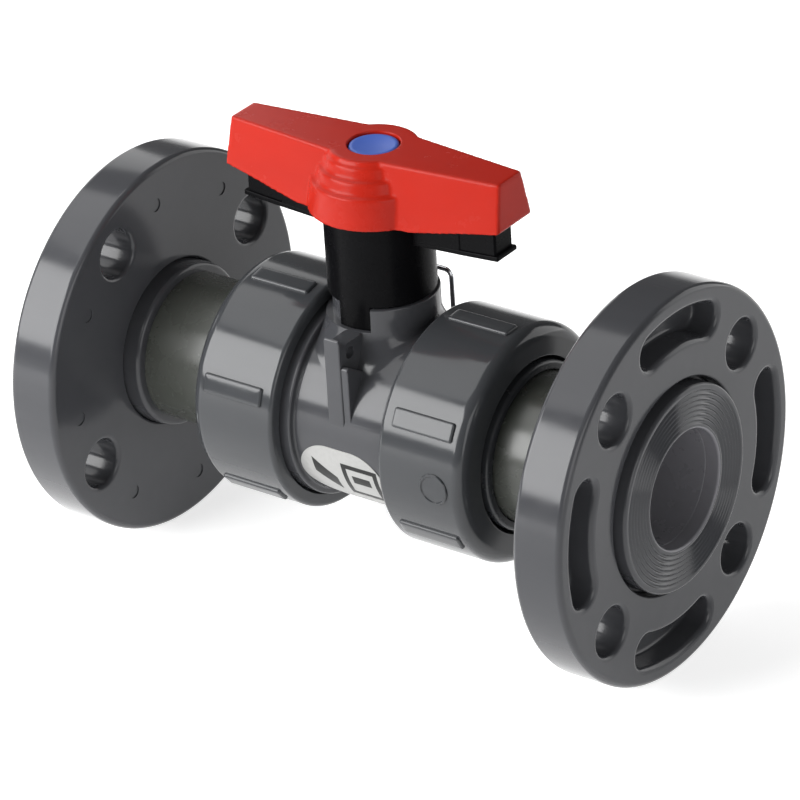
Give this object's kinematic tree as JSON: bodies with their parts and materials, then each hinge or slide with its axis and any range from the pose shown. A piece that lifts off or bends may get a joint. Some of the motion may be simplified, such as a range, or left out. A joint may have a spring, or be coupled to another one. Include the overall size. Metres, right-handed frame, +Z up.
{
  "type": "flanged union ball valve",
  "caption": "Plastic true-union ball valve with loose flange rings at both ends and a quarter-turn lever on a stem.",
  "frame": {"origin": "where the pipe axis and the stem axis cross, at the centre of the ball", "axes": "+X along the flow passage from the inlet flange to the outlet flange, +Z up along the stem to the lever"},
  "size_m": [0.2157, 0.127, 0.154],
  "materials": {
    "grey_pvc": "gloss",
    "nut_pvc": "gloss",
    "inner_pvc": "satin",
    "pipe_pvc": "satin",
    "seat_plastic": "satin",
    "stem_plastic": "satin",
    "seal_rubber": "matte",
    "black_plastic": "satin",
    "red_plastic": "satin",
    "blue_plastic": "satin",
    "steel": "brushed",
    "label": "satin"
  },
  "bodies": {
    "valve": {"valve_body": "grey_pvc", "flow_label": "label", "inlet_seat": "seat_plastic", "outlet_seat": "seat_plastic", "seat_carrier": "inner_pvc", "carrier_ring": "seal_rubber", "inlet_connector": "inner_pvc", "outlet_connector": "inner_pvc", "inlet_face_ring": "seal_rubber", "outlet_face_ring": "seal_rubber", "inlet_pipe": "pipe_pvc", "outlet_pipe": "pipe_pvc", "inlet_hub": "grey_pvc", "outlet_hub": "grey_pvc", "stop_clip": "steel"},
    "lever": {"lever_base": "black_plastic", "lever_cover": "red_plastic", "lever_cap": "blue_plastic", "lever_screw": "steel", "stem": "stem_plastic", "lower_stem_ring": "seal_rubber", "upper_stem_ring": "seal_rubber"},
    "ball": {"ball": "inner_pvc"},
    "inlet_union_nut": {"inlet_nut": "nut_pvc"},
    "outlet_union_nut": {"outlet_nut": "nut_pvc"},
    "inlet_loose_ring": {"inlet_flange": "grey_pvc"},
    "outlet_loose_ring": {"outlet_flange": "grey_pvc"}
  },
  "joints": [
    {"name": "lever_turn", "type": "hinge", "parent": "valve", "child": "lever", "pos_m": [0, 0, 0], "axis": [0, 0, -1], "range_deg": [0, 90]},
    {"name": "ball_turn", "type": "hinge", "parent": "valve", "child": "ball", "pos_m": [0, 0, 0], "axis": [0, 0, -1], "range_deg": [0, 90]},
    {"name": "inlet_nut_turn", "type": "hinge", "parent": "valve", "child": "inlet_union_nut", "pos_m": [-0.034, 0, 0], "axis": [-1, 0, 0], "range_deg": [0, 1080]},
    {"name": "outlet_nut_turn", "type": "hinge", "parent": "valve", "child": "outlet_union_nut", "pos_m": [0.0388, 0, 0], "axis": [1, 0, 0], "range_deg": [0, 1080]},
    {"name": "inlet_ring_turn", "type": "hinge", "parent": "valve", "child": "inlet_loose_ring", "pos_m": [-0.0938, 0, 0], "axis": [-1, 0, 0], "continuous": true},
    {"name": "outlet_ring_turn", "type": "hinge", "parent": "valve", "child": "outlet_loose_ring", "pos_m": [0.0986, 0, 0], "axis": [1, 0, 0], "continuous": true}
  ],
  "couplings": [
    {"joint": "ball_turn", "follows": "lever_turn", "ratio": 1}
  ]
}
